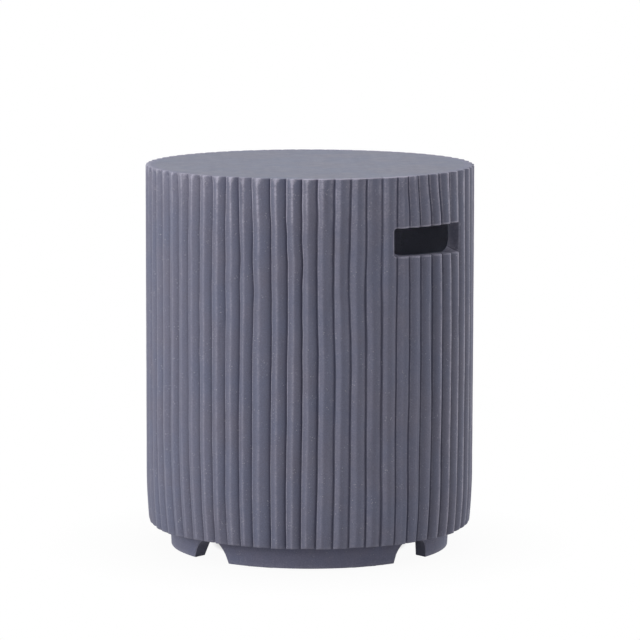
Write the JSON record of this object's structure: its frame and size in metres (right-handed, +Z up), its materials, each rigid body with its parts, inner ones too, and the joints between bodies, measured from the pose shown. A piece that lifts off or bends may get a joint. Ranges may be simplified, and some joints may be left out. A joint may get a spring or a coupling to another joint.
{
  "type": "propane tank cover table",
  "caption": "Hollow drum side table with fluted sides, two hand openings and a notched plinth, lowered over a propane tank to hide it.",
  "frame": {"origin": "centre of the base, at the level of the floor that the foot pads stand on", "axes": "+Z up along the drum's axis; the hand openings face +X and -X; hose notches face +X, +Y, -X and -Y"},
  "size_m": [0.4318, 0.4314, 0.5055],
  "materials": {
    "painted_casting": "matt slate-grey exterior paint over fibre-reinforced magnesium-oxide cement",
    "foot_pad": "matt black dense foam rubber"
  },
  "bodies": {
    "root": {"tabletop": "painted_casting", "fluted_wall": "painted_casting", "plinth": "painted_casting", "foot_pad_1": "foot_pad", "foot_pad_2": "foot_pad", "foot_pad_3": "foot_pad", "foot_pad_4": "foot_pad", "foot_pad_5": "foot_pad", "foot_pad_6": "foot_pad", "foot_pad_7": "foot_pad", "foot_pad_8": "foot_pad"}
  },
  "joints": []
}
